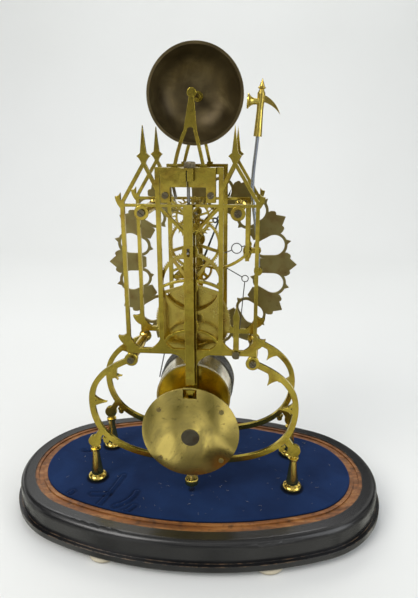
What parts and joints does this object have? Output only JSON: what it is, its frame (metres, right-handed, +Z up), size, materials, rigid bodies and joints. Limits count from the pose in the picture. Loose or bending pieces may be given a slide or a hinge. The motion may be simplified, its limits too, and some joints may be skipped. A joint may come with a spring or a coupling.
{
  "type": "skeleton clock",
  "caption": "Spring-driven skeleton clock with pierced plates, fusee train, pendulum and a passing-strike bell, on an oval velvet-topped wooden plinth.",
  "frame": {"origin": "on the table under the centre of the oval plinth", "axes": "+Z up, dial faces -Y, pendulum side faces +Y"},
  "size_m": [0.31, 0.19, 0.365],
  "materials": {
    "brass": "aged polished brass",
    "dial_brass": "dark aged brass",
    "silvered_brass": "pale worn brass",
    "numeral_wax": "matt black wax",
    "steel": "polished steel, dulled",
    "blued_steel": "blued steel",
    "lead": "dull dark lead",
    "bell_metal": "dark bronze patina",
    "ebonised_wood": "worn ebonised polish",
    "bare_wood": "worn stained wood",
    "velvet": "deep blue velvet",
    "pale_foot": "pale bun feet"
  },
  "bodies": {
    "frame": {"back_cock": "brass", "back_plate": "brass", "barrel_arbor": "steel", "bell": "bell_metal", "bell_spindle": "brass", "bell_stands": "brass", "bun_feet": "pale_foot", "chain_run": "blued_steel", "chapter_ring": "dial_brass", "dial_pillars": "brass", "foot_columns": "brass", "front_plate": "brass", "groove_ring": "bare_wood", "hammer_brackets": "brass", "hammer_springs": "blued_steel", "mainspring": "blued_steel", "minute_post": "brass", "numerals": "numeral_wax", "pillar_screws": "steel", "pillar_washers": "brass", "plate_pillars": "brass", "plinth": "ebonised_wood", "setup_ratchet": "steel", "small_screws": "steel", "spring_post": "brass", "suspension_block": "brass", "suspension_screw": "blued_steel", "velvet_pad": "velvet"},
    "centre": {"centre_arbor": "steel", "centre_wheel": "brass", "cannon_pinion": "brass", "minute_hand": "blued_steel", "hand_collet": "brass"},
    "third": {"third_arbor": "steel", "third_wheel": "brass"},
    "escape": {"escape_arbor": "steel", "escape_wheel": "brass"},
    "fusee": {"fusee_cone": "brass", "great_wheel": "brass", "fusee_arbor": "steel"},
    "barrel": {"barrel_drum": "silvered_brass", "barrel_cap": "brass", "chain_coil": "blued_steel"},
    "minute_work": {"minute_wheel": "brass"},
    "hour_work": {"hour_wheel": "brass", "hour_hand": "blued_steel"},
    "pallets": {"pallet_arbor": "steel", "anchor": "steel", "crutch": "steel"},
    "pendulum": {"pendulum_rod": "brass", "suspension_spring": "steel", "rating_screw": "steel"},
    "bob": {"bob_back_plate": "brass", "bob_front_shell": "brass", "bob_weight": "lead", "bob_rivets": "steel"},
    "nut": {"rating_nut": "brass"},
    "hammer": {"hammer_head": "brass", "hammer_rod": "blued_steel", "hammer_arbor": "brass"}
  },
  "joints": [
    {"name": "centre_turn", "type": "hinge", "parent": "frame", "child": "centre", "pos_m": [0, 0, 0.1979], "axis": [0, 1, 0], "continuous": true},
    {"name": "third_turn", "type": "hinge", "parent": "frame", "child": "third", "pos_m": [0, 0, 0.224], "axis": [0, 1, 0], "continuous": true},
    {"name": "escape_turn", "type": "hinge", "parent": "frame", "child": "escape", "pos_m": [0, 0, 0.246], "axis": [0, 1, 0], "continuous": true},
    {"name": "fusee_turn", "type": "hinge", "parent": "frame", "child": "fusee", "pos_m": [0, 0, 0.1669], "axis": [0, 1, 0], "continuous": true},
    {"name": "barrel_turn", "type": "hinge", "parent": "frame", "child": "barrel", "pos_m": [0, 0, 0.104], "axis": [0, 1, 0], "continuous": true},
    {"name": "minute_wheel_turn", "type": "hinge", "parent": "frame", "child": "minute_work", "pos_m": [0.014, 0, 0.1979], "axis": [0, 1, 0], "continuous": true},
    {"name": "hour_turn", "type": "hinge", "parent": "frame", "child": "hour_work", "pos_m": [0, 0, 0.1979], "axis": [0, 1, 0], "continuous": true},
    {"name": "pendulum_swing", "type": "hinge", "parent": "frame", "child": "pendulum", "pos_m": [0, 0.034, 0.277], "axis": [0, 1, 0], "range_deg": [-4, 4]},
    {"name": "pallet_swing", "type": "hinge", "parent": "frame", "child": "pallets", "pos_m": [0, 0, 0.277], "axis": [0, 1, 0], "range_deg": [-4, 4]},
    {"name": "rating_nut_turn", "type": "hinge", "parent": "bob", "child": "nut", "pos_m": [0, 0.034, 0.04], "axis": [0, 0, 1], "range_deg": [-1440, 1440]},
    {"name": "bob_slide", "type": "slide", "parent": "pendulum", "child": "bob", "axis": [0, 0, 1], "range_m": [-0.0028, 0.0028]},
    {"name": "hammer_lift", "type": "hinge", "parent": "frame", "child": "hammer", "pos_m": [-0.041, 0.003, 0.221], "axis": [0, 1, 0], "range_deg": [-14, 1]}
  ],
  "couplings": [
    {"joint": "third_turn", "follows": "centre_turn", "ratio": -12},
    {"joint": "escape_turn", "follows": "centre_turn", "ratio": 133.71},
    {"joint": "fusee_turn", "follows": "centre_turn", "ratio": -0.083333},
    {"joint": "barrel_turn", "follows": "centre_turn", "ratio": -0.046909},
    {"joint": "minute_wheel_turn", "follows": "centre_turn", "ratio": -0.33333},
    {"joint": "hour_turn", "follows": "centre_turn", "ratio": 0.083333},
    {"joint": "pallet_swing", "follows": "pendulum_swing", "ratio": 1},
    {"joint": "rating_nut_turn", "follows": "bob_slide", "rad_per_m": 8976}
  ]
}
